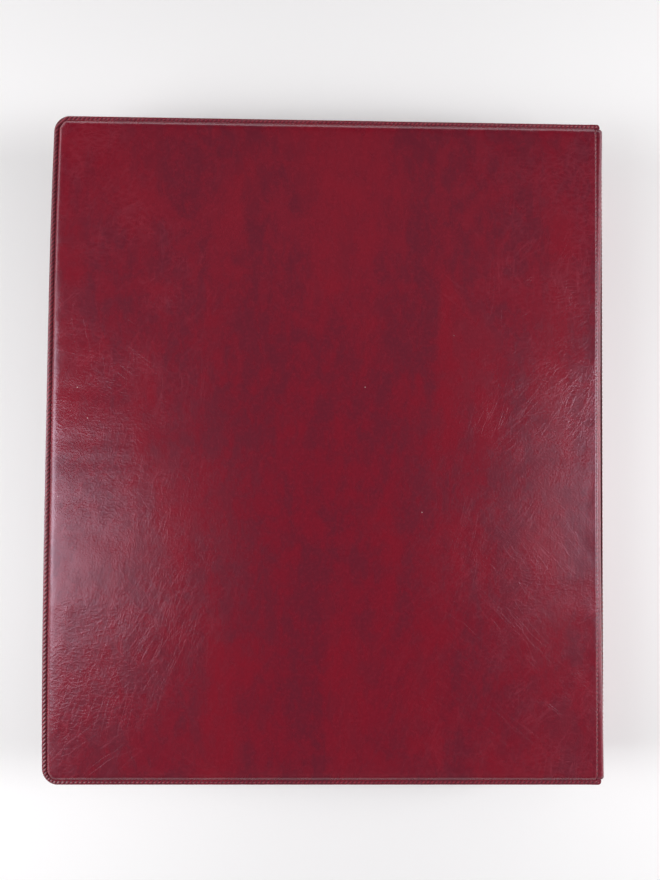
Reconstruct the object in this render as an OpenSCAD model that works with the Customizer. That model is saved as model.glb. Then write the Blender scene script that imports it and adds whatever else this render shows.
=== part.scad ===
// A4 ring binder, closed and lying on its back cover.
// Case: three boards welded between a padded leatherette skin and a smooth lining.
// Mechanism: four snap rings on two hinged rails under a sprung steel housing,
// opened by a lever at the head and one at the tail.
// Frame: X runs from the fore edge to the spine, Y from tail to head, Z up from the surface it lies on.

/* [Case] */
// Height of the covers, tail to head
case_h = 318; // [310:1:330]
// Width of a cover, from its fore edge to the seam beside the hinge
cover_w = 262.5; // [245:0.5:280]
// Thickness of the closed binder
case_t = 46; // [45:0.5:56]
// Corner radius at the fore edge
corner_r = 7.5; // [6:0.5:12]
// Width of the welded flange round the boards
flange_w = 3.6; // [3:0.1:4.5]
// Depth of the notch in the flange at each end of a hinge
notch_d = 2.2; // [1.5:0.1:3]

/* [Layers] */
// Thickness of the leatherette skin
skin_t = 0.5; // [0.4:0.05:0.7]
// Thickness of the foam under the cover skins
foam_t = 1.6; // [1:0.1:2.2]
// Thickness of the foam under the spine skin
spine_foam_t = 0.8; // [0.5:0.1:1.2]
// Thickness of the greyboard
board_t = 2; // [1.6:0.1:2.4]
// Thickness of the inner lining
lining_t = 0.4; // [0.3:0.05:0.5]

/* [Hinge strips] */
// Flat run beside the cover, which carries the seam
seam_w = 1.5; // [1:0.1:2]
// Bend radius of the closed strip, at the middle of its two layers
bend_r = 3; // [2.6:0.1:4]

/* [Rings] */
// Inner diameter of the closed rings
ring_id = 20; // [18:0.5:21]
// Diameter of the ring wire
wire_d = 3; // [2.6:0.1:3.2]
// Distance between neighbouring rings
ring_pitch = 80; // [70:1:80]

/* [Housing] */
// Length of the mechanism housing
housing_l = 289; // [280:1:292]
// Width of the housing
housing_w = 20; // [19:0.5:21]
// Thickness of the housing steel
housing_t = 0.9; // [0.7:0.1:1]

/* [Hidden] */
$fn = 64;
hull_fn = 32;
eps = 0.01;
half_h = case_h / 2;

// Stack of a cover, from its outer face at z = 0 up to its inner face
cover_t = skin_t + foam_t + board_t + lining_t;
lining_z = cover_t - lining_t;
board_z = lining_z - board_t;
weld_z = lining_z - skin_t;
weld_t = skin_t + lining_t;
fit_gap = 0.05;
shoulder_run = 3;
shoulder_z = skin_t + foam_t * 0.7;
pad_corner_r = 2;
tab_w = 2.6;
tab_r = 1.6;

// Hinge strip, in the cross-section of the back cover's hinge
bend_z = weld_z + weld_t / 2 + bend_r;
strip_out = seam_w + bend_r + weld_t / 2;
strip_top = bend_z + seam_w;

// Stack of the spine, outwards from its inner face
spine_out = strip_out;
spine_foam_x = spine_out - skin_t - spine_foam_t;
spine_board_x = spine_foam_x - board_t;
spine_in = spine_board_x - lining_t;
spine_corner_r = 3;
spine_rim = 1.05;
spine_board_inset = spine_rim + lining_t + fit_gap;

// Rivets that hold the mechanism, and the sleeves that space it off the spine
rivet_y = 130;
rivet_r = 2;
rivet_head_r = 4.3;
rivet_head_t = 0.8;
sleeve_r = 3.2;

// Place of the hinge seam in X, so that the binder's box is centred on the origin
total_x = cover_w + spine_out + rivet_head_t;
hinge_x = total_x / 2 - spine_out - rivet_head_t;

// Housing section, over the spine's inner face
housing_top = 7.4;
arch_rise = 3.2;
arch_r = (pow(housing_w / 2, 2) + pow(arch_rise, 2)) / (2 * arch_rise);
arch_z = housing_top - arch_r;
wall_x = housing_w / 2 - housing_t;
lip_z = 1.4;
lip_t = 0.7;
lip_w = 2.3;

// Rails: each turns on the round edge that it keeps in the housing's channel
rail_t = 1.2;
rail_x = wall_x - 0.7;
rail_z = 3;
rail_reach = rail_x - 0.1;
rail_tilt = 7;
rail_l = 277.2;
rail_notch_r = sleeve_r + 0.5;

// Rings
wire_r = wire_d / 2;
ring_r = ring_id / 2 + wire_r;
ring_z = 15.5;
root_run = 1.8;
shank_r = 1;
tip_gap = 0.025;
peg_l = 1;
rings = [-1.5, -0.5, 0.5, 1.5];
root_x = rail_x - root_run * cos(rail_tilt);
root_z = rail_z - root_run * sin(rail_tilt);
// Distance up the rail's normal, from the root to the ring's centre line
root_b = (root_z - ring_z) * cos(rail_tilt) - root_x * sin(rail_tilt);
root_c = pow(root_x, 2) + pow(root_z - ring_z, 2) - pow(ring_r, 2);
root_h = -root_b - sqrt(pow(root_b, 2) - root_c);
bend_x = root_x - root_h * sin(rail_tilt);
bend_up = root_z + root_h * cos(rail_tilt);
root_angle = atan2(bend_up - ring_z, bend_x);
slot_w = wire_d + 1.4;
slot_in = bend_x - wire_r - 0.45;

// Levers
lever_y = housing_l / 2 - 3.5;
lever_z = 3.8;
lever_w = 15;
lever_boss_w = 2 * wall_x - 0.4;
lever_boss_r = 2.2;
lever_t = 1.3;
lever_bend_r = 7.5;
lever_sweep = 80;
lever_rise = 7.5;
lever_bead_r = 0.9;
lever_corner_r = 4.5;
lever_top = 18.8;
tongue_w = 3;
tongue_l = 3.6;
tongue_t = 0.9;
tongue_z = 0.35;
pin_r = 1.1;
pin_head_r = 1.7;
pin_head_t = 0.5;
ear_l = 7;
ear_top = 6.2;

function numbered(stem) = [for (i = [1:4]) str(stem, i)];

leatherette = [0.43, 0.09, 0.13];
lining_red = [0.36, 0.08, 0.11];
foam_white = [0.9, 0.88, 0.82];
greyboard = [0.55, 0.52, 0.47];
nickel = [0.8, 0.8, 0.79];

// ---- Case ----

// Outline with one corner radius at the fore edge and another at the hinge
module panel_2d(x0, x1, y1, r0, r1) {
    translate([x0 + r0, -y1]) square([x1 - x0 - r0 - r1, 2 * y1]);
    translate([x0, r0 - y1]) square([r0 + 1, 2 * (y1 - r0)]);
    translate([x1 - r1 - 1, r1 - y1]) square([r1 + 1, 2 * (y1 - r1)]);
    for (s = [-1, 1]) {
        translate([x0 + r0, s * (y1 - r0)]) circle(r0);
        translate([x1 - r1, s * (y1 - r1)]) circle(r1);
    }
}

// Outline of a cover's pad, drawn in from the flange's edge; past the flange, the hinge side moves in too
module pad_2d(inset) {
    fore_r = max(corner_r - inset, pad_corner_r);
    panel_2d(inset - cover_w, flange_w - inset, half_h - inset, fore_r, pad_corner_r);
}

// Flat outline of a cover with its flange, and a tab beside the notch at each end of the hinge
module flange_2d() {
    difference() {
        panel_2d(-cover_w, tab_w, half_h, corner_r, tab_r);
        translate([0, notch_d - half_h]) square([tab_w + 1, 2 * (half_h - notch_d)]);
    }
}

// Solid under the pad: straight past the board, then drawn in over the foam
module pad_solid(inset, z_low, z_bend, z_high) {
    hull() {
        translate([0, 0, z_bend]) linear_extrude(z_high - z_bend) pad_2d(inset, $fn = hull_fn);
        translate([0, 0, z_low]) linear_extrude(eps) pad_2d(inset + shoulder_run, $fn = hull_fn);
    }
}

module cover_skin() {
    difference() {
        union() {
            translate([0, 0, weld_z]) linear_extrude(skin_t) flange_2d();
            pad_solid(flange_w, 0, shoulder_z, lining_z);
        }
        pad_solid(flange_w + skin_t, skin_t, shoulder_z + skin_t / 2, lining_z + 1);
    }
}

module cover_foam() {
    inset = flange_w + skin_t + fit_gap;
    pad_solid(inset, skin_t + fit_gap, shoulder_z + skin_t / 2 + fit_gap, board_z);
}

module cover_board() {
    translate([0, 0, board_z]) linear_extrude(board_t) pad_2d(flange_w + skin_t + fit_gap);
}

module cover_lining() {
    translate([0, 0, lining_z]) linear_extrude(lining_t) flange_2d();
}

// Both vinyl layers, welded, from the cover's seam round the bend to the spine's seam
module hinge_strip() {
    rotate([90, 0, 0]) linear_extrude(2 * (half_h - notch_d), center = true) {
        translate([0, weld_z]) square([seam_w, weld_t]);
        translate([strip_out - weld_t, bend_z]) square([weld_t, seam_w]);
        translate([seam_w, bend_z]) difference() {
            circle(bend_r + weld_t / 2);
            circle(bend_r - weld_t / 2);
            translate([-2 * bend_r, -2 * bend_r]) square([2 * bend_r, 4 * bend_r]);
            translate([-2 * bend_r, 0]) square([4 * bend_r, 2 * bend_r]);
        }
    }
}

// Upright sheet of the spine, from x to x + t, drawn in from the seams and from head and tail
module spine_sheet(x, t, side_inset, end_inset, r) {
    w = case_t - 2 * (strip_top + side_inset);
    translate([x, 0, case_t / 2]) rotate([90, 0, 90]) linear_extrude(t)
        panel_2d_upright(half_h - end_inset, w / 2, r);
}

module panel_2d_upright(y1, z1, r) {
    square([2 * (y1 - r), 2 * z1], center = true);
    square([2 * y1, 2 * (z1 - r)], center = true);
    for (sy = [-1, 1], sz = [-1, 1]) translate([sy * (y1 - r), sz * (z1 - r)]) circle(r);
}

// Holes on the axes of the rivets, through whatever stands at the spine
module rivet_holes(r) {
    for (s = [-1, 1]) translate([0, s * rivet_y, case_t / 2]) rotate([0, 90, 0])
        cylinder(r = r, h = 60, center = true);
}

module spine_skin() {
    difference() {
        spine_sheet(spine_out - skin_t, skin_t, 0, 0, spine_corner_r);
        rivet_holes(rivet_r + fit_gap);
    }
}

module spine_foam() {
    difference() {
        spine_sheet(spine_foam_x, spine_foam_t, spine_board_inset, flange_w + spine_board_inset, 1);
        rivet_holes(rivet_r + fit_gap);
    }
}

module spine_board() {
    difference() {
        spine_sheet(spine_board_x, board_t, spine_board_inset, flange_w + spine_board_inset, 1);
        rivet_holes(rivet_r + fit_gap);
    }
}

// The lining goes round the spine's board, and its rim is welded to the skin
module spine_lining() {
    difference() {
        union() {
            spine_sheet(spine_out - weld_t, lining_t, 0, 0, spine_corner_r);
            spine_sheet(spine_in, spine_foam_x + spine_foam_t - spine_in,
                        spine_rim, flange_w + spine_rim, 1.4);
        }
        spine_sheet(spine_board_x, 10, spine_rim + lining_t, flange_w + spine_rim + lining_t, 1);
        rivet_holes(rivet_r + fit_gap);
    }
}

// Places a back cover part in X, and its twin, turned over, on top of the binder
module back_side() translate([hinge_x, 0, 0]) children();
module front_side() translate([hinge_x, 0, case_t]) mirror([0, 0, 1]) children();

// ---- Mechanism, drawn flat: x across it, y along it, z up from the spine's inner face ----

module on_spine() translate([hinge_x + spine_in, 0, case_t / 2]) rotate([0, -90, 0]) children();

// Turns a part for the front rail into the same part for the back rail
module other_side() mirror([1, 0, 0]) children();

module housing_section() {
    intersection() {
        difference() {
            translate([0, arch_z]) circle(arch_r);
            translate([0, arch_z]) circle(arch_r - housing_t);
        }
        translate([-housing_w / 2, lip_z]) square([housing_w, housing_top]);
    }
    for (s = [-1, 1]) {
        translate([s * (wall_x + housing_t / 2), lip_z + (housing_top - arch_rise - lip_z) / 2])
            square([housing_t, housing_top - arch_rise - lip_z], center = true);
        translate([s * (housing_w / 2 - lip_w / 2), lip_z + lip_t / 2]) square([lip_w, lip_t], center = true);
    }
}

module ears() {
    for (s = [-1, 1], e = [-1, 1]) translate([s * (wall_x + housing_t / 2), e * lever_y, 0])
        rotate([90, 0, 90]) linear_extrude(housing_t, center = true) {
            translate([-ear_l / 2, lip_z]) square([ear_l, lever_z - lip_z]);
            translate([0, lever_z]) circle(ear_top - lever_z);
        }
}

module housing() {
    difference() {
        union() {
            rotate([90, 0, 0]) linear_extrude(2 * lever_y, center = true) housing_section();
            ears();
        }
        // The crown is cut away over each lever, and the lips under it
        for (e = [-1, 1]) {
            translate([0, e * lever_y, lip_z + 5]) cube([2 * wall_x, 9.5, 12], center = true);
            translate([0, e * lever_y, ear_top / 2]) rotate([0, 90, 0])
                translate([ear_top / 2 - lever_z, 0, 0]) cylinder(r = pin_r + fit_gap, h = 40, center = true);
        }
        // A slot lets each ring half swing out
        for (i = rings, s = [-1, 1]) translate([s * (slot_in + 10), i * ring_pitch, 5])
            cube([20, slot_w, 12], center = true);
        for (s = [-1, 1]) translate([0, s * rivet_y, 0]) cylinder(r = rivet_r + fit_gap, h = 20);
    }
}

module sleeves() {
    z_under = arch_z + sqrt(pow(arch_r - housing_t, 2) - pow(sleeve_r, 2));
    for (s = [-1, 1]) translate([0, s * rivet_y, 0]) difference() {
        cylinder(r = sleeve_r, h = z_under);
        translate([0, 0, -1]) cylinder(r = rivet_r + fit_gap, h = 20);
    }
}

// Shank from the domed head on the housing to the flat head on the spine's skin
module rivets() {
    outer_z = spine_in - spine_out;
    for (s = [-1, 1]) translate([0, s * rivet_y, 0]) {
        translate([0, 0, outer_z - rivet_head_t]) cylinder(r = rivet_head_r, h = rivet_head_t);
        translate([0, 0, outer_z - eps]) cylinder(r = rivet_r, h = housing_top - outer_z + 2 * eps);
        translate([0, 0, housing_top])
            cylinder(r1 = rivet_head_r - 0.4, r2 = rivet_head_r - 1.6, h = rivet_head_t);
    }
}

// Front rail: a flat blade that dips to the middle when the rings are closed
module rail() {
    difference() {
        translate([rail_x, 0, rail_z]) rotate([0, -rail_tilt, 0]) {
            translate([-rail_reach, -rail_l / 2, -rail_t / 2]) cube([rail_reach, rail_l, rail_t]);
            rotate([90, 0, 0]) cylinder(r = rail_t / 2, h = rail_l, center = true);
        }
        for (s = [-1, 1]) translate([0, s * rivet_y, 0]) cylinder(r = rail_notch_r, h = 20, center = true);
        for (i = rings) translate([root_x, i * ring_pitch, root_z]) rotate([0, -rail_tilt, 0])
            cylinder(r = shank_r + fit_gap, h = 4, center = true);
    }
}

// Round wire from the rail to the tip, without its end
module ring_wire() {
    translate([root_x, 0, root_z]) rotate([0, -rail_tilt, 0]) {
        translate([0, 0, rail_t / 2]) cylinder(r = wire_r, h = root_h - rail_t / 2);
        translate([0, 0, -rail_t / 2 - eps]) cylinder(r = shank_r, h = rail_t + 2 * eps);
        translate([0, 0, -rail_t / 2 - 0.4]) cylinder(r = shank_r + 0.5, h = 0.4);
    }
    translate([bend_x, 0, bend_up]) sphere(wire_r);
    tip_angle = 90 - asin(tip_gap / ring_r);
    translate([0, 0, ring_z]) rotate([90, 0, 0]) rotate([0, 0, root_angle])
        rotate_extrude(angle = tip_angle - root_angle) translate([ring_r, 0]) circle(wire_r);
}

// The front half ends in a socket, and the back half in the peg that snaps into it
module front_ring_half(i) {
    translate([0, rings[i] * ring_pitch, 0]) difference() {
        ring_wire();
        translate([-1, 0, ring_z + ring_r]) rotate([0, 90, 0]) cylinder(r = 0.95, h = 1 + peg_l + 0.25);
    }
}

module back_ring_half(i) {
    translate([0, rings[i] * ring_pitch, 0]) {
        other_side() ring_wire();
        translate([-tip_gap - 0.5, 0, ring_z + ring_r]) rotate([0, 90, 0])
            cylinder(r1 = 0.8, r2 = 0.5, h = peg_l + 0.5);
    }
}

// Section of the head lever across its pin, with y outwards and z up, from the pin's centre
module lever_section() {
    outer = lever_bend_r + lever_t / 2;
    translate([0, lever_bend_r]) difference() {
        circle(outer);
        circle(outer - lever_t);
        translate([-2 * outer, -2 * outer]) square([2 * outer, 4 * outer]);
        square(2 * outer);
        rotate(lever_sweep - 90) square(2 * outer);
    }
    translate([0, lever_bend_r]) rotate(lever_sweep - 90) translate([lever_bend_r, 0]) {
        translate([-lever_t / 2, -eps]) square([lever_t, lever_rise]);
        translate([0, lever_rise]) circle(lever_bead_r);
    }
}

module lever_plate() {
    intersection() {
        rotate([90, 0, 90]) linear_extrude(lever_w, center = true) lever_section();
        translate([0, 20, 0]) rotate([90, 0, 0]) linear_extrude(40) {
            top = lever_top - lever_z;
            translate([-lever_w / 2, -5]) square([lever_w, top - lever_corner_r + 5]);
            translate([lever_corner_r - lever_w / 2, -5]) square([lever_w - 2 * lever_corner_r, top + 5]);
            for (s = [-1, 1]) translate([s * (lever_w / 2 - lever_corner_r), top - lever_corner_r])
                circle(lever_corner_r);
        }
    }
}

module lever() {
    translate([0, lever_y, lever_z]) difference() {
        union() {
            rotate([0, 90, 0]) cylinder(r = lever_boss_r, h = lever_boss_w, center = true);
            lever_plate();
            // Tongue under the rails, hung from the boss
            translate([-tongue_w / 2, -tongue_l, tongue_z - lever_z]) cube([tongue_w, tongue_l, tongue_t]);
            translate([-tongue_w / 2, -tongue_t, tongue_z - lever_z])
                cube([tongue_w, 2 * tongue_t, lever_z - tongue_z - pin_r - 0.3]);
        }
        rotate([0, 90, 0]) cylinder(r = pin_r + fit_gap, h = 40, center = true);
    }
}

module lever_pin() {
    l = housing_w + 2 * fit_gap;
    translate([0, lever_y, lever_z]) rotate([0, 90, 0]) {
        cylinder(r = pin_r, h = l, center = true);
        for (s = [-1, 1]) translate([0, 0, s * (l + pin_head_t) / 2])
            cylinder(r = pin_head_r, h = pin_head_t, center = true);
    }
}

module at_tail() mirror([0, 1, 0]) children();

// ---- Nodes ----

color(leatherette) back_side() cover_skin();  // back_cover_skin
color(foam_white) back_side() cover_foam();  // back_cover_foam
color(greyboard) back_side() cover_board();  // back_cover_board
color(lining_red) back_side() cover_lining();  // back_cover_lining
color(leatherette) back_side() spine_skin();
color(foam_white) back_side() spine_foam();
color(greyboard) back_side() spine_board();
color(lining_red) back_side() spine_lining();
color(leatherette) front_side() cover_skin();  // front_cover_skin
color(foam_white) front_side() cover_foam();  // front_cover_foam
color(greyboard) front_side() cover_board();  // front_cover_board
color(lining_red) front_side() cover_lining();  // front_cover_lining
color(leatherette) back_side() hinge_strip();  // back_hinge_strip
color(leatherette) front_side() hinge_strip();  // front_hinge_strip
color(nickel) on_spine() housing();  // mechanism_housing
color(nickel) on_spine() sleeves();  // housing_sleeves
color(nickel) on_spine() rivets();  // housing_rivets
color(nickel) on_spine() other_side() rail();  // back_rail
color(nickel) on_spine() rail();  // front_rail
for (i = [0:3]) {
    color(nickel) on_spine() back_ring_half(i);
    color(nickel) on_spine() front_ring_half(i);
}
color(nickel) on_spine() lever();  // head_lever
color(nickel) on_spine() at_tail() lever();  // tail_lever
color(nickel) on_spine() lever_pin();  // head_lever_pin
color(nickel) on_spine() at_tail() lever_pin();  // tail_lever_pin
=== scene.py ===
"""Looks of a padded leatherette ring binder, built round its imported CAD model."""
import math
import bpy
import numpy as np
from mathutils import Euler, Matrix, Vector


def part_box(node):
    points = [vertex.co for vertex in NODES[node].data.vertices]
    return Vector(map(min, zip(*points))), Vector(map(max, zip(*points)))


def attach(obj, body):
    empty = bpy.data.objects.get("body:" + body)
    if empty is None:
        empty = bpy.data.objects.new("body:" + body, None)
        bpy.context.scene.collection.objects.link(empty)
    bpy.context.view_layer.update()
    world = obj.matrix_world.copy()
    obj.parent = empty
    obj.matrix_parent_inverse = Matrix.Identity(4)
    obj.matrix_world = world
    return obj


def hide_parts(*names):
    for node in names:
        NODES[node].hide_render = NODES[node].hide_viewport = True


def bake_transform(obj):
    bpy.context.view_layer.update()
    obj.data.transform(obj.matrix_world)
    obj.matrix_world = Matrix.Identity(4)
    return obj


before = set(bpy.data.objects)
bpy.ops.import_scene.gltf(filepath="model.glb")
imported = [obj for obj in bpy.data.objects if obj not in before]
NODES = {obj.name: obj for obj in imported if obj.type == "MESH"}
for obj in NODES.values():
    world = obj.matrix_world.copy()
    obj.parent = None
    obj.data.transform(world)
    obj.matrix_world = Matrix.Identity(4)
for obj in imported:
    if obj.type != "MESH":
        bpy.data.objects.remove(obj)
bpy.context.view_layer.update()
MM = 0.001

# ---- Measures from the frame, in millimetres ----


def node_box(name):
    low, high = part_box(name)
    return np.array(low) / MM, np.array(high) / MM


strip_low, strip_high = node_box("front_hinge_strip")
skin_low, skin_high = node_box("front_cover_skin")
lining_low, lining_high = node_box("front_cover_lining")
board_high = node_box("front_cover_board")[1]
spine_low, spine_high = node_box("spine_skin")

SEAM_X = strip_low[0]                       # where the pad ends and the hinge strip starts
FORE_X = skin_low[0]
HALF_H = skin_high[1]
TOP_Z = skin_high[2]
MID_Z = TOP_Z / 2
WELD_IN_Z = lining_high[2]                  # where the skin meets the lining
INNER_Z = lining_low[2]
LINING_T = WELD_IN_Z - INNER_Z
BOARD_RISE = board_high[2] - WELD_IN_Z      # top of the board over the weld
STRIP_HALF = strip_high[1]
TAB_W = skin_high[0] - SEAM_X               # the flange runs on past the seam, beside the hinge strip
TAB_DEPTH = HALF_H - STRIP_HALF
COVER_W = SEAM_X - FORE_X
COVER_H = 2 * HALF_H
SPINE_X = spine_high[0]
SPINE_W = spine_high[2] - spine_low[2]

# ---- Measures of the case's finish, in millimetres ----
SKIN_T = 0.5
FLANGE_TOP_Z = WELD_IN_Z + SKIN_T
FLANGE_W = 3.6
PAD_H = TOP_Z - FLANGE_TOP_Z
PAD_INSET = 2.6                             # the skin's pad starts a little outside the board
END_PAD_INSET = 2.3
CORNER_R = 7.5
TAB_R = 1.6
SPINE_CORNER_R = 3.0
ROPE_PITCH = 2.04
ROPE_STEP = 0.34
SEAM_INSET = 1.4                            # middle of the rope seam, in from the fore edge
END_SEAM_INSET = 1.15                       # and in from the head and tail edges
FORE_ROPE, END_ROPE = (2.3, 0.48), (1.15, 0.28)     # width and height of the seam there
HINGE_SEAM_OUT, SPINE_SEAM_OUT = 0.55, 0.75         # middle of a strip's seams, out from cover and spine
RIM_W = 0.35                                # the cut edge of a sheet rounds off over this width
END_ROLL = (1.1, 3.0, 0.34)                 # how the pad rises: steep part, broad part and its share
FORE_ROLL = (0.8, 4.0, 0.5)
HINGE_ROLL = 0.3
BLEND_POWER = 6                             # of the smooth minimum of two slopes
FORE_BOW, CORNER_BOW = 0.4, 1.4             # fore edge: out at mid-length, and in from there at the corners
BOW_REACH = 60
PAD_STEP, QUICK_PAD_STEP = 2.2, 4.0
LINING_STEP, SPINE_STEP = 4.0, 2.4

# The pads' waviness, as heights in millimetres
CROWN_H, CROWN_DROP = 0.45, 0.25
CREASE_H = 0.12
SLOW_WAVE_H, PUCKER_H = 0.07, 0.06
CLOTH_ROWS, CLOTH_COLS = 55, 66
CLOTH_FRAMES = 20
# Ridges where the padding has been folded once: start and end from fore and tail edge, half width, height
BROAD_CREASES = (
    ((232, 10), (262, 33), 2.2, 0.22),
    ((40, 46), (66, 92), 2.6, 0.07),
    ((214, 150), (246, 200), 2.4, 0.07),
    ((196, 96), (214, 140), 2.8, 0.06))

# Hinge strips and spine
STRIP_T = 0.9
STRIP_RUN = (0.9, 3.6)                      # flat part by the seam, then the bend
STRIP_TURNS = 15                            # points round the bend
STRIP_DROP = 3.3
STRIP_FOOT = 4.5
STRIP_DRAWN_IN = 0.16                       # share of its width, at mid-length
STRIP_TUCK = 1.3                            # its ends pull in where the bend is squeezed
SPINE_SWELL, SPINE_DRAWN_IN = 0.55, 0.75
RIVET_Y, RIVET_FLAT_R = 130, 3.6

# ---- Mesh helpers: arrays are rows by columns by xyz, in millimetres ----


def new_object(name, verts, faces):
    mesh = bpy.data.meshes.new(name)
    mesh.from_pydata((np.asarray(verts) * MM).tolist(), [], faces)
    mesh.validate()
    mesh.polygons.foreach_set("use_smooth", [True] * len(mesh.polygons))
    obj = bpy.data.objects.new(name, mesh)
    bpy.context.scene.collection.objects.link(obj)
    return obj


def quads(first, rows, cols, flip):
    i, j = np.meshgrid(np.arange(rows - 1), np.arange(cols - 1), indexing="ij")
    a = (first + i * cols + j).ravel()
    faces = np.stack([a, a + cols, a + cols + 1, a + 1], 1)
    return faces[:, ::-1] if flip else faces


def slab(outer, inner):
    """Vertices and quads of the closed solid between two sheets of the same grid."""
    rows, cols = outer.shape[:2]
    n = rows * cols
    verts = np.concatenate([outer.reshape(-1, 3), inner.reshape(-1, 3)])
    ring = np.concatenate([
        np.arange(cols),
        np.arange(1, rows) * cols + cols - 1,
        (rows - 1) * cols + np.arange(cols - 2, -1, -1),
        np.arange(rows - 2, 0, -1) * cols])
    after = np.roll(ring, -1)
    walls = np.stack([ring, after, after + n, ring + n], 1)
    faces = np.concatenate([quads(0, rows, cols, False), quads(n, rows, cols, True), walls])
    return verts, faces


def outward(verts, faces):
    """The same faces, turned if the solid is inside out."""
    v = verts[faces]
    volume = np.einsum("ij,ij->", v[:, 0], np.cross(v[:, 1], v[:, 2]) + np.cross(v[:, 2], v[:, 3]))
    return faces if volume > 0 else faces[:, ::-1]


def solid(name, parts):
    """One object from several closed solids."""
    verts, faces, first = [], [], 0
    for v, f in parts:
        centre = v.mean(0)
        verts.append(v)
        faces.append(outward(v - centre, f) + first)
        first += len(v)
    return new_object(name, np.concatenate(verts), np.concatenate(faces).tolist())


def spaced(stops):
    """Grid lines: stops is a list of (position, step up to the next stop)."""
    lines = [np.array([stops[0][0]])]
    for (a, step), (b, _) in zip(stops, stops[1:]):
        count = max(1, round((b - a) / step))
        lines.append(np.linspace(a, b, count + 1)[1:])
    return np.concatenate(lines)


def both_ends(stops, length):
    """Stops for spaced: these from one end, and the same ones turned round up to the other end."""
    far = [(length - at, step) for (_, step), (at, _) in reversed(list(zip(stops, stops[1:])))]
    return stops + far + [(length, 1)]


def rounded(a, b, r):
    """Moves grid points near a corner onto arcs concentric with it.
    a and b are distances from its two edges."""
    near = (a < r) & (b < r)
    d = np.minimum(a, b)
    reach = np.maximum(r - d, 1e-6)
    angle = np.radians(45) * (1 + (a - b) / reach)
    return (np.where(near, r - reach * np.cos(angle), a),
            np.where(near, r - reach * np.sin(angle), b))


def waves(x, y, count, longest, shortest, seed):
    """A smooth random surface of about unit height."""
    draw = np.random.default_rng(seed)
    total = np.zeros_like(x)
    for _ in range(count):
        k = 2 * np.pi / draw.uniform(shortest, longest)
        heading = draw.uniform(0, np.pi)
        total += np.sin(k * (x * np.cos(heading) + y * np.sin(heading)) + draw.uniform(0, 6.283))
    return total / math.sqrt(count)


def turned(z, front):
    """A height on the front cover, or the matching one on the back cover, its twin turned over."""
    return z if front else 2 * MID_Z - z


def rim_drop(edge, depth):
    """How far a sheet's surface rounds down at its cut edge."""
    return depth * np.clip(1 - edge / RIM_W, 0, 1) ** 2


# ---- Cover pads ----
# Grid coordinates: a from the fore edge, b from the tail edge.


def pad_rise(a, b):
    """Height of the pad over the flange, and the distance in from its foot."""
    def roll(d, steep, broad, share):
        return 1 - (1 - share) * np.exp(-((d / steep) ** 1.1)) - share * np.exp(-d / broad)
    side = np.clip(np.minimum(b, COVER_H - b) - END_PAD_INSET, 0, None)
    fore = np.clip(a - PAD_INSET, 0, None)
    hinge = np.clip(COVER_W - a, 0, None)
    by_ends, by_fore = roll(side, *END_ROLL) + 1e-9, roll(fore, *FORE_ROLL) + 1e-9
    lower = (by_ends ** -BLEND_POWER + by_fore ** -BLEND_POWER) ** (-1 / BLEND_POWER)
    slope = lower * (1 - np.exp(-((hinge / HINGE_ROLL) ** 1.2)))
    return PAD_H * slope, np.minimum(np.minimum(side, fore), hinge)


def cover_grid(step):
    """Grid over a cover, close at its edges and by the seam."""
    edge = [(0, 0.3), (0.6, 0.6), (3.0, 0.3), (7.0, 0.6), (10.0, 1.2), (16.0, step)]
    far_a = [(COVER_W - 10, 1.0), (COVER_W - 6, 0.5), (COVER_W - 1.5, 0.15), (COVER_W, 1)]
    a = spaced(edge + far_a)
    b = spaced(both_ends(edge, COVER_H))
    return np.meshgrid(a, b, indexing="ij")


def bowed(x, y):
    """The fore edge bows out a little at mid-length and in towards the corners."""
    reach = np.clip(1 - (x - FORE_X) / BOW_REACH, 0, 1) ** 2
    return x + reach * (-FORE_BOW + CORNER_BOW * (np.abs(y) / HALF_H) ** 3.5)


def cover_sheet(a, b, height, front):
    """Points of a sheet at a height over the weld, for the front cover or its twin turned over."""
    tail_a, tail_b = rounded(a, b, CORNER_R)
    head_a, head_b = rounded(a, COVER_H - b, CORNER_R)
    tail_half = b < COVER_H / 2
    x = FORE_X + np.where(tail_half, tail_a, head_a)
    y = np.where(tail_half, tail_b, COVER_H - head_b) - HALF_H
    return np.stack([bowed(x, y), y, turned(WELD_IN_Z + height, front)], -1)


def smoothed(field, passes):
    """Running averages of a grid whose border stays as it is."""
    field = field.copy()
    for _ in range(passes):
        around = field[:-2, 1:-1] + field[2:, 1:-1] + field[1:-1, :-2] + field[1:-1, 2:]
        field[1:-1, 1:-1] += (around - 4 * field[1:-1, 1:-1]) / 5
    return field


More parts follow.
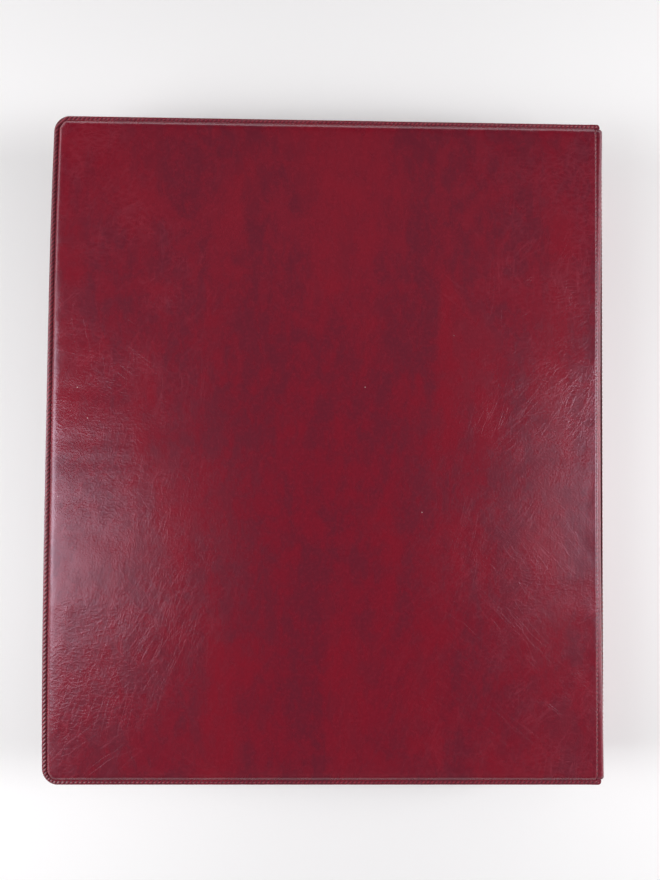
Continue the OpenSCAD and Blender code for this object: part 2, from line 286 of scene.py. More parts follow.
def cloth_field(seed):
    """A sheet held at the welds and pushed out by the foam, as a height grid with its two axes."""
    a = np.linspace(PAD_INSET, COVER_W, CLOTH_ROWS)
    b = np.linspace(PAD_INSET, COVER_H - PAD_INSET, CLOTH_COLS)
    aa, bb = np.meshgrid(a, b, indexing="ij")
    start = 0.15 * waves(aa, bb, 20, 50, 14, seed)
    verts = np.stack([aa, bb, start], -1).reshape(-1, 3)
    sheet = new_object("sheet", verts, quads(0, CLOTH_ROWS, CLOTH_COLS, False).tolist())
    held = sheet.vertex_groups.new(name="weld")
    border = np.ones((CLOTH_ROWS, CLOTH_COLS), bool)
    border[1:-1, 1:-1] = False
    held.add(np.flatnonzero(border.ravel()).tolist(), 1.0, "REPLACE")
    cloth = sheet.modifiers.new("cloth", "CLOTH")
    cloth.settings.quality = 5
    cloth.settings.mass = 0.25
    cloth.settings.tension_stiffness = cloth.settings.compression_stiffness = 20
    cloth.settings.shear_stiffness = 8
    cloth.settings.bending_stiffness = 0.02
    cloth.settings.vertex_group_mass = "weld"
    cloth.settings.use_pressure = True
    cloth.settings.uniform_pressure_force = 4.0
    cloth.settings.shrink_min = -0.012      # a little slack in the leatherette
    cloth.settings.effector_weights.gravity = 0
    cloth.collision_settings.use_collision = False
    cloth.point_cache.frame_start, cloth.point_cache.frame_end = 1, CLOTH_FRAMES
    for at in range(1, CLOTH_FRAMES + 1):
        bpy.context.scene.frame_set(at)
    done = sheet.evaluated_get(bpy.context.evaluated_depsgraph_get()).data
    heights = np.array([v.co.z for v in done.vertices]).reshape(CLOTH_ROWS, CLOTH_COLS) / MM
    bpy.context.scene.frame_set(1)
    bpy.data.objects.remove(sheet)
    dome = smoothed(heights, 60)
    ripple = heights - smoothed(heights, 12)
    return a, b, dome / np.abs(dome).max(), ripple / max(np.abs(ripple).std() * 3, 1e-6)


def sampled(a_axis, b_axis, field, a, b):
    """Bilinear values of a height grid, level beyond its border."""
    u = np.clip((a - a_axis[0]) / (a_axis[1] - a_axis[0]), 0, len(a_axis) - 1.001)
    v = np.clip((b - b_axis[0]) / (b_axis[1] - b_axis[0]), 0, len(b_axis) - 1.001)
    i, j = u.astype(int), v.astype(int)
    u, v = u - i, v - j
    u, v = u * u * (3 - 2 * u), v * v * (3 - 2 * v)
    return ((field[i, j] * (1 - u) + field[i + 1, j] * u) * (1 - v)
            + (field[i, j + 1] * (1 - u) + field[i + 1, j + 1] * u) * v)


def broad_creases(a, b):
    """Low rounded ridges, a little wavy, that fade out at both ends."""
    total = 0 * a
    for (a0, b0), (a1, b1), wide, high in BROAD_CREASES:
        along = np.array([a1 - a0, b1 - b0], float)
        size = np.hypot(*along)
        along /= size
        u = (a - a0) * along[0] + (b - b0) * along[1]
        v = -(a - a0) * along[1] + (b - b0) * along[0] + 1.5 * np.sin(u / 9)
        fade = np.clip(u / 10, 0, 1) * np.clip((size - u) / 10, 0, 1)
        total += high * fade * np.exp(-(v / wide) ** 2)
    return total


CLOTH = {}                                  # one simulated sheet for each seed


def undulation(a, b, d, seed):
    """Waviness of a pad at a distance d in from its foot."""
    if seed not in CLOTH:
        CLOTH[seed] = cloth_field(seed)
    a_axis, b_axis, dome, ripple = CLOTH[seed]
    crown = CROWN_H * sampled(a_axis, b_axis, dome, a, b) - CROWN_DROP
    crease = CREASE_H * np.clip(sampled(a_axis, b_axis, ripple, a, b), -1, 1)
    slow = SLOW_WAVE_H * waves(a, b, 14, 120, 40, seed)
    pucker = PUCKER_H * waves(a, b, 22, 16, 6, seed + 1) * np.exp(-d / 9)
    return (crown + crease + slow + pucker + broad_creases(a, b)) * (1 - np.exp(-d / 2.5))


def tab(side, front, outer, inner):
    """The flange's rounded end beyond the pad, at the head (side 1) or tail (side -1).
    outer and inner give a height over the weld from the distance to the tab's edge."""
    u, v = np.meshgrid(np.linspace(-2.0, TAB_W, 15), np.linspace(0, TAB_DEPTH, 9), indexing="ij")
    from_end, from_side = rounded(TAB_W - u, v, TAB_R)
    edge = np.minimum(from_end, from_side)
    x, y = SEAM_X + TAB_W - from_end, side * (HALF_H - from_side)
    levels = [turned(WELD_IN_Z + height(edge), front) for height in (outer, inner)]
    return slab(*(np.stack([x, y, z], -1) for z in levels))


def tab_skin(side, front):
    return tab(side, front, lambda edge: SKIN_T - 0.02 + 0.06 * np.sqrt(np.clip(edge / 0.5, 0, 1)),
               lambda edge: 0 * edge + 0.01)


def tab_lining(side, front):
    return tab(side, front, lambda edge: 0 * edge, lambda edge: 0 * edge + 0.03 - LINING_T)


def make_cover(side, front, seed):
    a, b = cover_grid(PAD_STEP)
    rise, d = pad_rise(a, b)
    lumps = undulation(a, b, d, seed)
    edge = np.minimum(np.minimum(a, b), COVER_H - b)
    outer = SKIN_T + rise + lumps - rim_drop(edge, 0.16)
    if not front:
        outer = np.minimum(outer, SKIN_T + PAD_H)     # flat where it lies on the table
    inner = np.maximum(outer - SKIN_T, 0) * (d > 0)
    skin = solid(side + "_cover_pad", [
        slab(cover_sheet(a, b, outer, front), cover_sheet(a, b, inner, front)),
        tab_skin(1, front), tab_skin(-1, front)])
    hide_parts(side + "_cover_skin")
    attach(skin, side + "_cover")

    # Foam between the skin and the board
    inset = FLANGE_W + SKIN_T + 0.4
    a, b = np.meshgrid(np.linspace(inset, COVER_W - 1.2, 60), np.linspace(inset, COVER_H - inset, 70),
                       indexing="ij")
    rise, d = pad_rise(a, b)
    top = np.minimum(rise + undulation(a, b, d, seed), PAD_H) - 0.08
    top = np.maximum(top, BOARD_RISE + 0.03)
    foam = solid(side + "_cover_foam_sheet", [
        slab(cover_sheet(a, b, top, front), cover_sheet(a, b, 0 * top + BOARD_RISE, front))])
    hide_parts(side + "_cover_foam")
    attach(foam, side + "_cover")
    return skin, foam


# ---- Rope seams ----


def rope(path, up, across, width, height, sink, plane=(0, 1)):
    """A welded seam with slanted ribs: a closed band along the path.
    up and across give, for each point of the path, the way out of the surface and the way over the seam.
    The ribs all slant the same way in the plane of the two named axes."""
    legs = np.linalg.norm(np.diff(path, axis=0), axis=1)
    stations = np.concatenate([[0], np.cumsum(legs)])
    length = stations[-1]
    t = np.linspace(0, length, max(8, int(length / ROPE_STEP)))

    def along(values):
        return np.stack([np.interp(t, stations, values[:, k]) for k in range(3)], 1)

    def unit(vectors):
        return vectors / np.linalg.norm(vectors, axis=1, keepdims=True)
    centre, out, over = along(path), unit(along(up)), unit(along(across))
    width = np.interp(t, stations, np.broadcast_to(width, len(path)))[:, None]
    height = np.interp(t, stations, np.broadcast_to(height, len(path)))[:, None]
    at, side = np.meshgrid(t, np.linspace(-1, 1, 9), indexing="ij")
    spot = centre[:, None, :] + over[:, None, :] * (side * width / 2)[..., None]
    phase = (spot[..., plane[0]] - spot[..., plane[1]]) / ROPE_PITCH
    rib = (0.5 + 0.5 * np.cos(2 * np.pi * phase)) ** 0.8
    envelope = np.clip(1 - np.abs(side) ** 3, 0, 1)
    ends = np.clip(np.minimum(at, length - at) / 0.8, 0, 1)
    rise = -sink + (height * (0.25 + 0.75 * rib) * ends + sink) * envelope
    outer = spot + out[:, None, :] * rise[..., None]
    inner = spot - out[:, None, :] * (sink + 0.1)
    return slab(outer, inner)


def edge_path(front):
    """Path, ways out and over, width and height of the seam from the tail tab round the fore edge to the
    head tab."""
    rx, ry = CORNER_R - SEAM_INSET, CORNER_R - END_SEAM_INSET
    x0, y0 = FORE_X + CORNER_R, HALF_H - CORNER_R
    seam_y = HALF_H - END_SEAM_INSET
    tab_end = SEAM_X + TAB_W - 0.9
    end_run = np.linspace(SEAM_X - 180, x0 + 4, 12)
    z = turned(FLANGE_TOP_Z, front)
    points, over = [], []

    def add(x, y, over_x, over_y):
        points.append((float(bowed(x, y)), float(y), z))
        over.append((over_x, over_y, 0))

    def corner(start, centre_y):
        for k in range(25):
            angle = math.radians(start - 90 * k / 24)
            over_x, over_y = -math.cos(angle), -math.sin(angle)
            add(x0 - rx * over_x, centre_y - ry * over_y, over_x, over_y)
    for x in (tab_end, *end_run):
        add(x, -seam_y, 0, 1)
    corner(270, -y0)
    for y in np.linspace(-y0, y0, 40)[1:-1]:
        add(x0 - rx, y, 1, 0)
    corner(180, y0)
    for x in (*end_run[::-1], tab_end):
        add(x, seam_y, 0, -1)
    points = np.array(points)
    up = np.tile([0, 0, 1.0 if front else -1.0], (len(points), 1))
    fore = np.clip((FORE_X + 22 - points[:, 0]) / 18, 0, 1)     # full width along the fore edge only
    width, height = (at_end + (at_fore - at_end) * fore for at_end, at_fore in zip(END_ROPE, FORE_ROPE))
    return points, up, np.array(over, float), width, height


def straight(start, end, up, over):
    """Path, ways out and ways over of a straight seam."""
    return (np.array([start, end], float), np.array([up, up], float), np.array([over, over], float))


def make_edge_seam(side, front):
    piece = solid(side + "_cover_edge_seam", [rope(*edge_path(front), sink=0.12)])
    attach(piece, side + "_cover")
    return piece


# ---- Hinge strips ----


def strip_section(y):
    """Middle line of the front hinge's strip at each place along it: distance out from the seam, drop below
    the flange's middle, and the way out of it.
    Close to a flat slope at mid-length, it rounds out towards head and tail."""
    flat, radius = STRIP_RUN
    angle = np.radians(np.linspace(0, 90, STRIP_TURNS))[None, :]
    fullness = 1.25 + 1.2 * (np.abs(y) / STRIP_HALF) ** 2.6 + 0.06 * waves(y, 0 * y, 8, 60, 14, 31)
    power = 2 / fullness[:, None]
    bow_x = radius * np.sin(angle) ** power
    bow_z = -STRIP_DROP * (1 - np.cos(angle) ** power)
    same = np.ones((len(y), 1))
    x = np.hstack([0 * same, flat / 2 * same, flat + bow_x, (flat + radius) * same])
    x = x * (1 - STRIP_DRAWN_IN * (1 - (y[:, None] / STRIP_HALF) ** 2))
    z = np.hstack([0 * same, 0 * same, bow_z, -STRIP_FOOT * same])
    run, fall = np.gradient(x, axis=1), np.gradient(z, axis=1)
    size = np.hypot(run, fall)
    return x, z, -fall / size, run / size


def make_strip(side, front):
    y = np.linspace(-STRIP_HALF, STRIP_HALF, 170)
    x, z, out_x, out_z = strip_section(y)
    mid = FLANGE_TOP_Z - STRIP_T / 2
    tuck = np.clip(-z / 3.0, 0, 1) * np.clip((STRIP_FOOT + z) / 1.5, 0, 1)
    tucked_y = y[:, None] * (1 - STRIP_TUCK / STRIP_HALF * tuck ** 0.7)

    def sheet(offset):
        level = turned(mid + z + out_z * offset, front)
        return np.stack([SEAM_X + x + out_x * offset, tucked_y, level], -1)
    piece = solid(side + "_hinge_fold", [slab(sheet(STRIP_T / 2), sheet(-STRIP_T / 2))])
    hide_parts(side + "_hinge_strip")
    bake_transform(piece)
    return piece


def make_hinge_seams(side, front):
    outward_z = 1 if front else -1
    end_y = STRIP_HALF - 0.3
    x, z = SEAM_X + HINGE_SEAM_OUT, turned(FLANGE_TOP_Z, front)
    cover_seam = solid(side + "_hinge_cover_seam", [rope(
        *straight((x, -end_y, z), (x, end_y, z), (0, 0, outward_z), (1, 0, 0)),
        width=1.0, height=0.3, sink=0.1)])
    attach(cover_seam, side + "_cover")
    x, z = SPINE_X, turned(MID_Z + SPINE_W / 2 + SPINE_SEAM_OUT, front)
    spine_seam = solid(side + "_hinge_spine_seam", [rope(
        *straight((x, -end_y, z), (x, end_y, z), (1, 0, 0), (0, 0, outward_z)),
        width=1.4, height=0.3, sink=0.1, plane=(2, 1))])
    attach(spine_seam, "spine")
    return [cover_seam, spine_seam]


# ---- Spine ----
# Grid coordinates: b from the tail end, c from the back cover's side.


def spine_grid(step):
    ends = [(0, 0.4), (1.2, 0.8), (3.6, 0.5), (8.0, 1.5), (14.0, step)]
    b = spaced(both_ends(ends, COVER_H))
    c = spaced([(0, 0.25), (0.5, 0.4), (4.0, 1.2), (SPINE_W - 4, 0.4), (SPINE_W - 0.5, 0.25), (SPINE_W, 1)])
    return np.meshgrid(b, c, indexing="ij")


def spine_points(b, c, x):
    tail_half, back_half = b < COVER_H / 2, c < SPINE_W / 2
    from_end, from_side = rounded(np.where(tail_half, b, COVER_H - b), np.where(back_half, c, SPINE_W - c),
                                  SPINE_CORNER_R)
    y = np.where(tail_half, from_end - HALF_H, HALF_H - from_end)
    z = np.where(back_half, from_side, SPINE_W - from_side) - SPINE_W / 2 + MID_Z
    return np.stack([x, y, z], -1)


def make_spine():
    b, c = spine_grid(SPINE_STEP)
    from_end, from_side = np.minimum(b, COVER_H - b), np.minimum(c, SPINE_W - c)
    d = np.clip(np.minimum(from_end - FLANGE_W, from_side - 0.5), 0, None)
    swell = SPINE_SWELL * (1 - np.exp(-d / 1.6))
    y = b - HALF_H
    for rivet in (-RIVET_Y, RIVET_Y):
        far = np.hypot(y - rivet, c - SPINE_W / 2)
        swell = swell * (1 - 0.85 * np.exp(-(np.clip(far - RIVET_FLAT_R, 0, None) / 3.2) ** 2))
    swell = swell - SPINE_DRAWN_IN * (1 - (y / HALF_H) ** 2)        # drawn in at mid-length
    lumps = 0.06 * waves(b, c, 10, 60, 18, 91) * (1 - np.exp(-d / 3))
    x = SPINE_X + swell + lumps - rim_drop(np.minimum(from_end, from_side), 0.12)
    skin = solid("spine_pad", [slab(spine_points(b, c, x), spine_points(b, c, x - SKIN_T + 0.02))])
    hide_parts("spine_skin")
    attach(skin, "spine")
    bands = []
    reach = SPINE_W / 2 - 1.4
    for end in (-1, 1):
        at = end * (HALF_H - SEAM_INSET)
        bands.append(rope(
            *straight((SPINE_X, at, MID_Z - reach), (SPINE_X, at, MID_Z + reach), (1, 0, 0), (0, end, 0)),
            width=1.8, height=0.4, sink=0.1, plane=(2, 1)))
    seams = solid("spine_end_seams", bands)
    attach(seams, "spine")
    return [skin, seams]


# ---- Linings ----


def make_lining(side, front):
    a, b = cover_grid(LINING_STEP)
    edge = np.minimum(np.minimum(a, b), COVER_H - b)
    hinge = COVER_W - a
    # Two grooves: under the rope seam, and where the flange meets the board
    groove = 0.14 * np.exp(-((edge - 1.75) / 0.9) ** 2)
    groove = groove + 0.1 * np.exp(-((edge - FLANGE_W - 0.3) / 0.5) ** 2)
    level = np.clip((np.minimum(edge, hinge) - 4) / 10, 0, 1)
    lumps = 0.05 * waves(a, b, 16, 90, 25, 5 if front else 6) * level
    face = 0.9 * groove - LINING_T - 0.6 * lumps
    top = 0 * a - 0.005
    piece = solid(side + "_cover_inner_sheet", [
        slab(cover_sheet(a, b, top, front), cover_sheet(a, b, face, front)),
        tab_lining(-1, front), tab_lining(1, front)])
    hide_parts(side + "_cover_lining")
    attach(piece, side + "_cover")
    return piece


def spine_sheet(name, low, high, radius, outer_x, inner_x):
    """A flat sheet with rounded corners that fills the y and z of a box.
    outer_x and inner_x give its two faces from y and the distance to the sheet's edge."""
    y, z = np.meshgrid(
        spaced([(low[1], 1.0), (low[1] + 4, 6.0), (high[1] - 4, 1.0), (high[1], 1)]),
        spaced([(low[2], 0.8), (low[2] + 3, 1.6), (high[2] - 3, 0.8), (high[2], 1)]), indexing="ij")
    from_end, from_side = rounded(
        np.minimum(y - low[1], high[1] - y), np.minimum(z - low[2], high[2] - z), radius)
    edge = np.minimum(from_end, from_side)
    sheet_y = np.where(y < 0, low[1] + from_end, high[1] - from_end)
    sheet_z = np.where(z < MID_Z, low[2] + from_side, high[2] - from_side)
    faces = [np.stack([face_x(y, edge), sheet_y, sheet_z], -1) for face_x in (outer_x, inner_x)]
    return solid(name, [slab(*faces)])


def make_spine_sheets():
    """The foam and the lining of the spine."""
    low, high = node_box("spine_foam")
    gap = np.array([0, 0.5, 0.5])
    foam = spine_sheet(
        "spine_foam_sheet", low + gap, high - gap, 1.0,
        lambda y, edge: low[0] + np.clip(0.55 - 0.45 * (1 - (y / HALF_H) ** 2), 0.05, None),
        lambda y, edge: low[0] + 0 * y)
    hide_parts("spine_foam")
    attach(foam, "spine")

    inner_low, inner_high = node_box("spine_lining")
    inner = spine_sheet(
        "spine_inner_sheet", inner_low, inner_high, SPINE_CORNER_R,
        lambda y, edge: inner_high[0] + 0 * y,
        lambda y, edge: (inner_low[0] + 0.12 * np.exp(-((edge - 2.0) / 0.9) ** 2)
                         + 0.1 * np.clip(1 - edge / 0.4, 0, 1) ** 2))
    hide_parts("spine_lining")
    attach(inner, "spine")
    return foam, inner


# ---- Materials ----


RANGE_KEYS = ("From Min", "From Max", "To Min", "To Max")


class Nodes:
    """Short calls for a material's node tree. Lengths in it are in metres."""

    def __init__(self, name):
        self.mat = bpy.data.materials.new(name)
        self.mat.use_nodes = True
        self.tree = self.mat.node_tree
        self.bsdf = self.tree.nodes["Principled BSDF"]
        coords = self.tree.nodes.new("ShaderNodeTexCoord")
        self.place = coords.outputs["Object"]

    def link(self, value, socket):
        if isinstance(value, bpy.types.NodeSocket):
            self.tree.links.new(value, socket)
        else:
            socket.default_value = value

    def mapped(self, rotation=(0, 0, 0), scale=(1, 1, 1), source=None):
        node = self.tree.nodes.new("ShaderNodeMapping")
        node.inputs["Rotation"].default_value = [math.radians(v) for v in rotation]
        node.inputs["Scale"].default_value = scale
        self.link(source or self.place, node.inputs["Vector"])
        return node.outputs["Vector"]

    def noise(self, scale, detail=3.0, rough=0.5, distortion=0.0, source=None):
        node = self.tree.nodes.new("ShaderNodeTexNoise")
        node.inputs["Scale"].default_value = scale
        node.inputs["Detail"].default_value = detail
        node.inputs["Roughness"].default_value = rough
        node.inputs["Distortion"].default_value = distortion
        self.link(source or self.place, node.inputs["Vector"])
        return node.outputs["Fac"]

    def voronoi(self, scale, source=None, feature="DISTANCE_TO_EDGE"):
        node = self.tree.nodes.new("ShaderNodeTexVoronoi")
        node.feature = feature
        node.inputs["Scale"].default_value = scale
        self.link(source or self.place, node.inputs["Vector"])
        return node.outputs["Distance"]

    def ramp(self, value, low, high, out_low=0.0, out_high=1.0):
        """A smooth step: out_low up to low, out_high from high on."""
        node = self.tree.nodes.new("ShaderNodeMapRange")
        node.interpolation_type = "SMOOTHSTEP"
        for key, number in zip(RANGE_KEYS, (low, high, out_low, out_high)):
            node.inputs[key].default_value = number
        self.link(value, node.inputs["Value"])
        return node.outputs["Result"]

    def math(self, operation, a, b=0.0):
        node = self.tree.nodes.new("ShaderNodeMath")
        node.operation = operation
        self.link(a, node.inputs[0])
        self.link(b, node.inputs[1])
        return node.outputs[0]

    def mix(self, factor, a, b):
        node = self.tree.nodes.new("ShaderNodeMix")
        node.data_type = "RGBA"
        self.link(factor, node.inputs["Factor"])
        for socket, value in ((node.inputs[6], a), (node.inputs[7], b)):
            self.link(value if isinstance(value, bpy.types.NodeSocket) else (*value, 1.0), socket)
        return node.outputs[2]

    def warp(self, amount, scale, source=None):
        """The place, pushed about by a noise."""
        noise = self.tree.nodes.new("ShaderNodeTexNoise")
        noise.inputs["Scale"].default_value = scale
        noise.inputs["Detail"].default_value = 1.5
        self.link(source or self.place, noise.inputs["Vector"])
        centre = self.vector("SUBTRACT", noise.outputs["Color"], (0.5, 0.5, 0.5))
        push = self.vector("SCALE", centre, scale=amount)
        return self.vector("ADD", source or self.place, push)

    def vector(self, operation, a, b=None, scale=None):
        node = self.tree.nodes.new("ShaderNodeVectorMath")
        node.operation = operation
        self.link(a, node.inputs[0])
        if b is not None:
            self.link(b, node.inputs[1])
        if scale is not None:
            node.inputs["Scale"].default_value = scale
        return node.outputs["Vector"]

    def split(self):
        node = self.tree.nodes.new("ShaderNodeSeparateXYZ")
        self.link(self.place, node.inputs[0])
        return node.outputs

    def bump(self, height, distance, strength=1.0, under=None):
        node = self.tree.nodes.new("ShaderNodeBump")
        node.inputs["Strength"].default_value = strength
        node.inputs["Distance"].default_value = distance
        self.link(height, node.inputs["Height"])
        if under is not None:
            self.link(under, node.inputs["Normal"])
        return node.outputs["Normal"]

    def set(self, **values):
        for key, value in values.items():
            self.link(value, self.bsdf.inputs[key.replace("_", " ")])


def srgb(r, g, b):
    """Linear colour from 0 to 255 display values."""
    v = np.array([r, g, b]) / 255
    return tuple(float(c) for c in np.where(v <= 0.04045, v / 12.92, ((v + 0.055) / 1.055) ** 2.4))


DARK_RED, RED, BRIGHT_RED = srgb(96, 19, 35), srgb(113, 19, 35), srgb(127, 15, 31)
# The pink for the creases is a painted highlight: the sheen caught on their crests
FLECK_PINK, CREASE_HIGHLIGHT_PINK, DUST = srgb(150, 40, 56), srgb(180, 84, 100), srgb(225, 200, 198)
SHEEN_TINT = (0.92, 0.83, 1.0, 1.0)
# Families of creases: turn in degrees, scale along and over the lines, their width, scale of the clumps
CREASE_FAMILIES = (
    (-57, 24, 230, 0.022, 19),
    (-36, 20, 170, 0.018, 23),
    (-78, 28, 210, 0.020, 27),
    (40, 22, 180, 0.014, 17))


def leatherette():
    m = Nodes("leatherette")
    x, y, _ = m.split()
    # Mottling: cloudy patches drawn out a little along the height, with finer blotches over them
    cloudy = m.noise(46, 4, 0.55, 0.7, m.mapped(scale=(1.35, 0.7, 1)))
    blotch = m.noise(170, 4, 0.6, 0.5, m.mapped(scale=(1.3, 0.75, 1)))
    tone = m.math("ADD", m.math("MULTIPLY", cloudy, 0.55), m.math("MULTIPLY", blotch, 0.45))
    base = m.mix(m.ramp(tone, 0.38, 0.62), DARK_RED, RED)
    glow = m.ramp(m.noise(17, 3, 0.55, 0.5, m.mapped(scale=(1.8, 0.6, 1))), 0.46, 0.70)
    base = m.mix(m.math("MULTIPLY", glow, 0.45), base, BRIGHT_RED)
    fleck = m.noise(700, 2, 0.6)
    base = m.mix(m.ramp(fleck, 0.45, 0.75, 0.0, 0.16), base, FLECK_PINK)
    # Creases: families of long, thin, slanting lines that fan out and run together, mostly at the sides
    bent = m.warp(0.05, 6)
    crease = None
    for turn, along, over, width, clump in CREASE_FAMILIES:
        slanted = m.mapped((0, 0, turn), source=bent)
        streak = m.noise(1.0, 2.5, 0.55, 0.4, m.mapped(scale=(along, over, 40), source=slanted))
        line = m.ramp(m.math("ABSOLUTE", m.math("SUBTRACT", streak, 0.5)), 0.0, width, 1.0, 0.0)
        line = m.math("MULTIPLY", line, m.ramp(m.noise(clump, 3, 0.6), 0.42, 0.64))
        crease = line if crease is None else m.math("MAXIMUM", crease, line)
    # Kept to the sides and away from the head, where the lamps' sheen falls, for the bumps and for the
    # painted highlight below
    sides = m.ramp(m.math("ABSOLUTE", x), 0.02, 0.11, 0.12, 1.0)
    lower = m.ramp(y, 0.06, 0.14, 1.0, 0.35)
    crease = m.math("MULTIPLY", crease, m.math("MULTIPLY", sides, lower))
    # A fine network of small wrinkles near the fore edge and by the hinge
    netting = m.voronoi(330, m.mapped((0, 0, -57), (0.5, 1.4, 1), source=m.warp(0.008, 90)))
    clumps = m.ramp(m.noise(28, 3, 0.6), 0.40, 0.62, 0.1, 1.0)
    fine = m.math("MULTIPLY", m.ramp(netting, 0.0, 0.22, 1.0, 0.0), clumps)
    fine = m.math("MULTIPLY", fine, m.ramp(m.math("ABSOLUTE", x), 0.035, 0.11))
    # Painted highlight: the crease lines and the fine network are tinted pink in place of the sheen on
    # their crests
    base = m.mix(m.math("MULTIPLY", crease, 0.13), base, CREASE_HIGHLIGHT_PINK)
    base = m.mix(m.math("MULTIPLY", fine, 0.06), base, CREASE_HIGHLIGHT_PINK)
    # Specks of dust
    speck = m.math("LESS_THAN", m.voronoi(48, feature="F1"), 0.013)
    base = m.mix(m.math("MULTIPLY", speck, 0.6), base, DUST)
    grain = m.math("SUBTRACT", 1.0, m.ramp(m.voronoi(650, m.warp(0.0012, 300)), 0.0, 0.25))
    normal = m.bump(crease, 0.000045, 0.7)
    normal = m.bump(fine, 0.00005, 0.6, normal)
    normal = m.bump(m.noise(150, 3, 0.55, 0.5), 0.00018, 0.35, normal)
    normal = m.bump(m.noise(520, 3, 0.6), 0.00005, 0.5, normal)
    normal = m.bump(grain, 0.00003, 0.5, normal)
    m.set(Base_Color=base, Roughness=m.ramp(tone, 0.38, 0.62, 0.30, 0.24), Normal=normal)
    m.bsdf.inputs["Specular Tint"].default_value = SHEEN_TINT
    m.bsdf.inputs["Specular IOR Level"].default_value = 0.56
    return m.mat


def seam_leather(wave):
    """The leatherette where the weld has pressed ribs into it, with painted shade that makes the grooves
    darker and a painted highlight that makes the ribs lighter pink.
    """
    m = Nodes("seam" + wave)
    parts = m.split()
    first, second = {"XY": (0, 1), "ZY": (2, 1)}[wave]
    slant = m.math("SUBTRACT", parts[first], parts[second])
    turn = m.math("MULTIPLY", slant, 2 * math.pi / (ROPE_PITCH * MM))
    rib = m.ramp(m.math("COSINE", turn), -0.9, 0.9)
    tone = m.noise(60, 4, 0.6)
    # Painted highlight on the ribs' crests, and painted shade in the grooves between them
    ridge_highlight = m.mix(m.ramp(tone, 0.35, 0.65), srgb(124, 38, 54), srgb(142, 48, 62))
    base = m.mix(rib, srgb(84, 22, 36), ridge_highlight)
    m.set(Base_Color=base, Roughness=0.38, Normal=m.bump(m.noise(900, 3, 0.6), 0.00004, 0.5))
    return m.mat


def lining():
    m = Nodes("lining")
    tone = m.noise(110, 4, 0.6, 0.5)
    base = m.mix(m.ramp(tone, 0.35, 0.65), srgb(100, 23, 37), srgb(110, 25, 40))
    normal = m.bump(m.voronoi(1100, feature="F1"), 0.00005, 0.5)
    normal = m.bump(m.noise(90, 3), 0.0003, 0.3, normal)
    m.set(Base_Color=base, Roughness=m.ramp(tone, 0.3, 0.7, 0.42, 0.52), Normal=normal)
    return m.mat


def foam_stuff():
    m = Nodes("foam")
    cells = m.voronoi(1300, feature="F1")
    # Painted shade: the foam is darker in the pits of its cells, where the bump sinks
    base = m.mix(m.ramp(cells, 0.0, 0.6), srgb(205, 200, 182), srgb(236, 232, 218))
    m.set(Base_Color=base, Roughness=0.95, Normal=m.bump(cells, 0.0002, 0.8))
    return m.mat


def greyboard():
    m = Nodes("greyboard")
    fibre = m.noise(300, 5, 0.7, 0.6, m.mapped(scale=(1, 3, 1)))
    base = m.mix(m.ramp(fibre, 0.35, 0.65), srgb(138, 131, 118), srgb(170, 162, 148))
    m.set(Base_Color=base, Roughness=0.9, Normal=m.bump(fibre, 0.0001, 0.6))
    return m.mat


def nickel(name, brushed):
    m = Nodes(name)
    smudge = m.noise(55, 4, 0.55, 0.3)
    line = m.noise(1.0, 3, 0.6, 0.0, m.mapped(scale=(900, 25, 900) if brushed else (500, 500, 500)))
    base = m.mix(m.ramp(smudge, 0.35, 0.7), srgb(214, 212, 206), srgb(196, 194, 188))
    rough = m.math("ADD", m.ramp(smudge, 0.3, 0.75, 0.12, 0.24), m.ramp(line, 0.3, 0.7, 0.0, 0.06))
    m.set(Base_Color=base, Roughness=rough, Normal=m.bump(line, 0.00001, 0.35))
    m.bsdf.inputs["Metallic"].default_value = 1.0
    return m.mat


def floor_stuff():
    m = Nodes("floor")
    tone = m.noise(3, 2)
    base = m.mix(m.ramp(tone, 0.3, 0.7), srgb(248, 248, 247), srgb(250, 250, 249))
    m.set(Base_Color=base, Roughness=0.55)
    return m.mat


def cover_with(objects, material):
    for obj in objects:
        obj.data.materials.clear()
        obj.data.materials.append(material)


# ---- Camera, first of all ----
camera_data = bpy.data.cameras.new("camera")
camera = bpy.data.objects.new("camera", camera_data)
bpy.context.scene.collection.objects.link(camera)
bpy.context.scene.camera = camera
camera_data.lens = 29.1
camera_data.sensor_width = 36
camera_data.clip_start = 0.01
CAMERA_SHIFT = (-2.6, -5.7, 340.3)                  # from the middle of the front cover, in millimetres
CAMERA_TILT = (1.61, -1.04, 0.47)                   # away from straight down, in degrees
cover_middle = (SEAM_X - COVER_W / 2, 0, FLANGE_TOP_Z)
camera.location = [(at + shift) * MM for at, shift in zip(cover_middle, CAMERA_SHIFT)]
camera.rotation_euler = Euler([math.radians(v) for v in CAMERA_TILT])

# ---- Build ----
skin_pieces, lining_pieces, foam_pieces = [], [], []
for side, front, seed in (("front", True, 11), ("back", False, 23)):
    skin, foam = make_cover(side, front, seed)
    skin_pieces += [skin, make_edge_seam(side, front), make_strip(side, front)]
    skin_pieces += make_hinge_seams(side, front)
    foam_pieces.append(foam)
    lining_pieces.append(make_lining(side, front))
skin_pieces += make_spine()
spine_foam, spine_inner = make_spine_sheets()
foam_pieces.append(spine_foam)
lining_pieces.append(spine_inner)

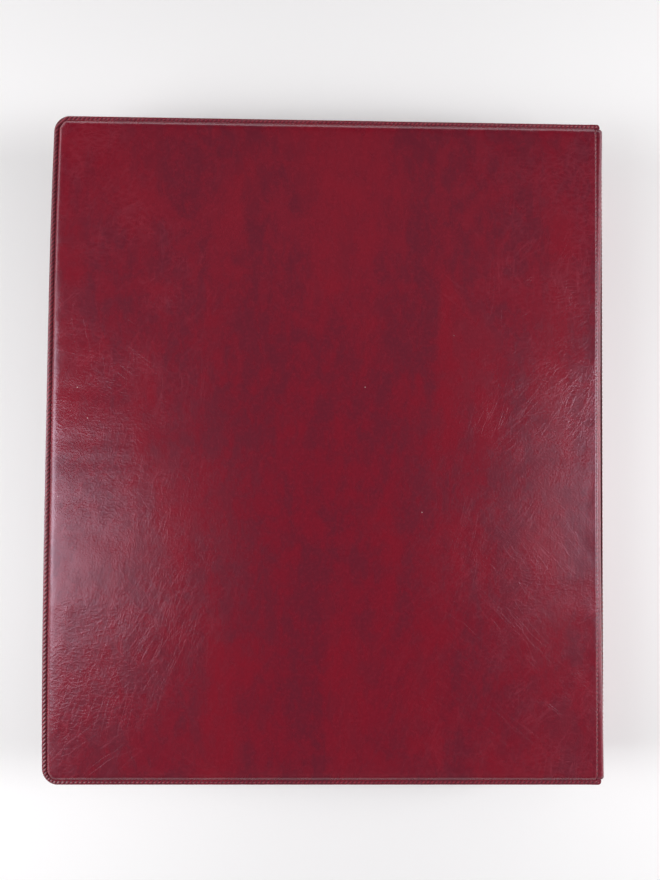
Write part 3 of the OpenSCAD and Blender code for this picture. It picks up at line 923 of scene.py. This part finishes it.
cover_with(skin_pieces, leatherette())
flat_seam, upright_seam = seam_leather("XY"), seam_leather("ZY")
for piece in skin_pieces:
    if piece.name.endswith(("edge_seam", "cover_seam")):
        cover_with([piece], flat_seam)
    elif piece.name.endswith(("spine_seam", "end_seams")):
        cover_with([piece], upright_seam)
cover_with(lining_pieces, lining())
cover_with(foam_pieces, foam_stuff())
cover_with([NODES[n] for n in NODES if n.endswith("_board")], greyboard())
plain, brushed = nickel("nickel", False), nickel("nickel_housing", True)
for name, obj in NODES.items():
    if "ring_half" in name or "lever" in name or name in ("housing_rivets", "housing_sleeves"):
        cover_with([obj], plain)
    elif name in ("mechanism_housing", "back_rail", "front_rail"):
        cover_with([obj], brushed)

# ---- Stage ----
floor_mesh = bpy.data.meshes.new("floor")
FLOOR_REACH = 4
floor_corners = [(x * FLOOR_REACH, y * FLOOR_REACH, 0) for x, y in ((-1, -1), (1, -1), (1, 1), (-1, 1))]
floor_mesh.from_pydata(floor_corners, [], [(0, 1, 2, 3)])
floor = bpy.data.objects.new("floor", floor_mesh)
bpy.context.scene.collection.objects.link(floor)
cover_with([floor], floor_stuff())

# ---- Light ----
LIGHT_COLOUR = (0.99, 0.975, 1.0)


def area(name, place, size, radiance):
    """An area light aimed at the origin. Places and sizes are in metres."""
    data = bpy.data.lights.new(name, "AREA")
    data.shape = "RECTANGLE"
    data.size, data.size_y = size
    data.energy = radiance * math.pi * size[0] * size[1]
    data.color = LIGHT_COLOUR
    lamp = bpy.data.objects.new(name, data)
    bpy.context.scene.collection.objects.link(lamp)
    lamp.location = place
    lamp.rotation_euler = (-Vector(place)).to_track_quat("-Z", "Y").to_euler()


for name, place, size, radiance in (
        ("window_left", (-0.9, -0.02, 0.5), (0.4, 0.6), 7.2),
        ("window_right", (0.9, 0.0, 0.5), (0.4, 0.6), 9.0),
        ("lamp_left", (-0.4, -0.13, 0.42), (0.2, 0.40), 4.3),
        ("lamp_right", (0.4, -0.05, 0.42), (0.2, 0.3), 3.1)):
    area(name, place, size, radiance)

# Room: a bright band low all round, brightest beyond the binder's head, a soft one higher up on its tail's
# side, and a faint glow overhead. Limits are parts of a unit direction: up, and along towards the head.
LOW_TOP, MIDDLE_FOOT, MIDDLE_TOP = (0.29, 0.41), (0.59, 0.71), (0.79, 0.91)
TAIL_TO_HEAD = (-0.35, 0.35)
world = bpy.data.worlds.new("world")
bpy.context.scene.world = world
world.use_nodes = True
tree = world.node_tree
direction = tree.nodes.new("ShaderNodeTexCoord").outputs["Generated"]
parts = tree.nodes.new("ShaderNodeSeparateXYZ")
tree.links.new(direction, parts.inputs[0])


def world_range(socket, low, high, out_low, out_high):
    """The same smooth step as a material's ramp."""
    node = tree.nodes.new("ShaderNodeMapRange")
    node.interpolation_type = "SMOOTHSTEP"
    for key, value in zip(RANGE_KEYS, (low, high, out_low, out_high)):
        node.inputs[key].default_value = value
    tree.links.new(socket, node.inputs["Value"])
    return node.outputs["Result"]


def world_math(operation, a, b):
    node = tree.nodes.new("ShaderNodeMath")
    node.operation = operation
    tree.links.new(a, node.inputs[0])
    tree.links.new(b, node.inputs[1])
    return node.outputs[0]


up, along = parts.outputs[2], parts.outputs[1]
towards_head = world_range(along, *TAIL_TO_HEAD, 0.35, 1.0)
low_band = world_math("MULTIPLY", world_range(up, *LOW_TOP, 2.4, 0.0), towards_head)
above, below = world_range(up, *MIDDLE_FOOT, 0.0, 1.0), world_range(up, *MIDDLE_TOP, 1.0, 0.0)
towards_tail = world_range(along, *TAIL_TO_HEAD, 0.28, 0.0)
mid_band = world_math("MULTIPLY", world_math("MULTIPLY", above, below), towards_tail)
overhead = world_range(up, *MIDDLE_TOP, 0.0, 1.0)
top_glow = world_math("MULTIPLY", overhead, world_range(along, 0.0, 0.42, 0.05, 0.24))
total = world_math("ADD", world_math("ADD", low_band, mid_band), top_glow)
tree.links.new(total, tree.nodes["Background"].inputs["Strength"])
tree.nodes["Background"].inputs["Color"].default_value = (1.0, 0.985, 0.98, 1)
bpy.context.scene.view_settings.view_transform = "Standard"
